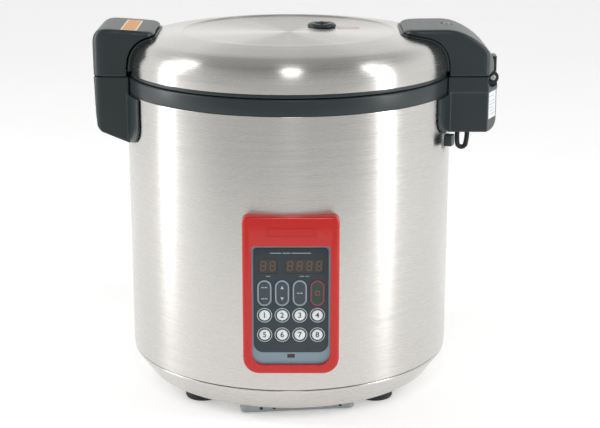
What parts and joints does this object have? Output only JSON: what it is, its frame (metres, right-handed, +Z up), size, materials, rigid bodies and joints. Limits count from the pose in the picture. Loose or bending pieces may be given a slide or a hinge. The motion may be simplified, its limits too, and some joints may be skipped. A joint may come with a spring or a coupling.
{
  "type": "rice cooker",
  "caption": "Large round steel rice cooker with a hinged domed lid, flip-up latch handle, inner pot and a red front control panel with keys.",
  "frame": {"origin": "on the floor, under the middle of the whole object's box with the lid closed", "axes": "+Z up, +X towards the lid's hinge, -Y towards the control panel"},
  "size_m": [0.495, 0.4208, 0.4472],
  "materials": {
    "brushed_steel": "stainless sheet, brushed round the drum and round the lid",
    "plain_steel": "bright plain steel",
    "cast_aluminium": "satin cast or pressed aluminium",
    "non_stick": "dark grey non-stick coating on aluminium",
    "black_plastic": "fine satin black moulding",
    "red_plastic": "high gloss red moulding",
    "plate_plastic": "silver blue painted plastic, satin",
    "overlay_film": "slate grey printed film, satin",
    "smoked_plastic": "smoked window, glossy",
    "white_key": "white key with a dark numeral",
    "dark_key": "dark grey key with a pale rim",
    "rubber": "black rubber, matt",
    "silicone": "translucent pale silicone",
    "copper": "enamelled copper winding",
    "circuit_board": "green solder-masked board",
    "galvanised": "zinc-plated sheet, satin"
  },
  "bodies": {
    "drum": {"base_pan": "brushed_steel", "outer_shell": "brushed_steel", "collar": "black_plastic", "coil_carrier": "black_plastic", "fan_frame": "black_plastic", "hinge_block": "black_plastic", "lead_duct": "black_plastic", "latch_housing": "black_plastic", "foot_front_left": "rubber", "foot_front_right": "rubber", "foot_rear_left": "rubber", "foot_rear_right": "rubber", "cord_gland": "rubber", "lid_lead": "rubber", "inner_pot": "non_stick", "pot_liner": "plain_steel", "sensor_spring": "plain_steel", "hinge_pin": "plain_steel", "latch_catch": "plain_steel", "induction_coil": "copper", "heat_sink": "cast_aluminium", "power_board": "circuit_board", "control_board": "circuit_board", "intake_cover": "galvanised", "panel_bezel": "red_plastic", "face_plate": "plate_plastic", "keypad_overlay": "overlay_film", "display_lens_two_digit": "smoked_plastic", "display_lens_four_digit": "smoked_plastic", "indicator_lens": "smoked_plastic", "display_module_two_digit": "dark_key", "display_module_four_digit": "dark_key"},
    "lid": {"lid_dome": "brushed_steel", "lid_rim": "black_plastic", "inner_lid": "cast_aluminium", "lid_gasket": "silicone", "steam_vent_cap": "black_plastic", "steam_tube": "silicone", "hinge_leaf": "black_plastic", "hinge_arm": "black_plastic", "hinge_lip": "black_plastic", "arm_screw": "plain_steel", "latch_bracket": "black_plastic", "latch_pin": "plain_steel"},
    "latch": {"latch_lever": "black_plastic"},
    "sensor": {"pot_sensor": "cast_aluminium"},
    "fan": {"fan_rotor": "black_plastic"},
    "menu_key_1_body": {"menu_key_1": "white_key"},
    "menu_key_2_body": {"menu_key_2": "white_key"},
    "menu_key_3_body": {"menu_key_3": "white_key"},
    "menu_key_4_body": {"menu_key_4": "white_key"},
    "menu_key_5_body": {"menu_key_5": "white_key"},
    "menu_key_6_body": {"menu_key_6": "white_key"},
    "menu_key_7_body": {"menu_key_7": "white_key"},
    "menu_key_8_body": {"menu_key_8": "white_key"},
    "timer_key_body": {"timer_key": "dark_key"},
    "cancel_key_body": {"cancel_key": "dark_key"},
    "mode_rocker_body": {"mode_rocker": "dark_key"},
    "adjust_rocker_body": {"adjust_rocker": "dark_key"}
  },
  "joints": [
    {"name": "lid_hinge", "type": "hinge", "parent": "drum", "child": "lid", "pos_m": [0.2395, -0.0004, 0.3835], "axis": [0, 1, 0], "range_deg": [0, 80]},
    {"name": "latch_flip", "type": "hinge", "parent": "lid", "child": "latch", "pos_m": [-0.184, -0.0004, 0.438], "axis": [0, 1, 0], "range_deg": [0, 6], "stiffness_Nm_per_rad": 2, "springref_deg": -8.59},
    {"name": "sensor_plunge", "type": "slide", "parent": "drum", "child": "sensor", "axis": [0, 0, -1], "range_m": [0, 0.003], "stiffness_N_per_m": 300, "springref_m": -0.004, "deforming": ["sensor_spring"]},
    {"name": "fan_spin", "type": "hinge", "parent": "drum", "child": "fan", "pos_m": [-0.001, -0.1054, 0.026], "axis": [0, 0, 1], "continuous": true},
    {"name": "menu_key_1_press", "type": "slide", "parent": "drum", "child": "menu_key_1_body", "axis": [0, 1, 0], "range_m": [0, 0.0008], "stiffness_N_per_m": 400, "springref_m": -0.001},
    {"name": "menu_key_2_press", "type": "slide", "parent": "drum", "child": "menu_key_2_body", "axis": [0, 1, 0], "range_m": [0, 0.0008], "stiffness_N_per_m": 400, "springref_m": -0.001},
    {"name": "menu_key_3_press", "type": "slide", "parent": "drum", "child": "menu_key_3_body", "axis": [0, 1, 0], "range_m": [0, 0.0008], "stiffness_N_per_m": 400, "springref_m": -0.001},
    {"name": "menu_key_4_press", "type": "slide", "parent": "drum", "child": "menu_key_4_body", "axis": [0, 1, 0], "range_m": [0, 0.0008], "stiffness_N_per_m": 400, "springref_m": -0.001},
    {"name": "menu_key_5_press", "type": "slide", "parent": "drum", "child": "menu_key_5_body", "axis": [0, 1, 0], "range_m": [0, 0.0008], "stiffness_N_per_m": 400, "springref_m": -0.001},
    {"name": "menu_key_6_press", "type": "slide", "parent": "drum", "child": "menu_key_6_body", "axis": [0, 1, 0], "range_m": [0, 0.0008], "stiffness_N_per_m": 400, "springref_m": -0.001},
    {"name": "menu_key_7_press", "type": "slide", "parent": "drum", "child": "menu_key_7_body", "axis": [0, 1, 0], "range_m": [0, 0.0008], "stiffness_N_per_m": 400, "springref_m": -0.001},
    {"name": "menu_key_8_press", "type": "slide", "parent": "drum", "child": "menu_key_8_body", "axis": [0, 1, 0], "range_m": [0, 0.0008], "stiffness_N_per_m": 400, "springref_m": -0.001},
    {"name": "timer_key_press", "type": "slide", "parent": "drum", "child": "timer_key_body", "axis": [0, 1, 0], "range_m": [0, 0.0008], "stiffness_N_per_m": 400, "springref_m": -0.001},
    {"name": "cancel_key_press", "type": "slide", "parent": "drum", "child": "cancel_key_body", "axis": [0, 1, 0], "range_m": [0, 0.0008], "stiffness_N_per_m": 400, "springref_m": -0.001},
    {"name": "mode_rocker_rock", "type": "hinge", "parent": "drum", "child": "mode_rocker_body", "pos_m": [-0.03725, -0.20325, 0.1661], "axis": [1, 0, 0], "range_deg": [-2.5, 2.5], "stiffness_Nm_per_rad": 0.05},
    {"name": "adjust_rocker_rock", "type": "hinge", "parent": "drum", "child": "adjust_rocker_body", "pos_m": [-0.01695, -0.20325, 0.1661], "axis": [1, 0, 0], "range_deg": [-2.5, 2.5], "stiffness_Nm_per_rad": 0.05}
  ]
}
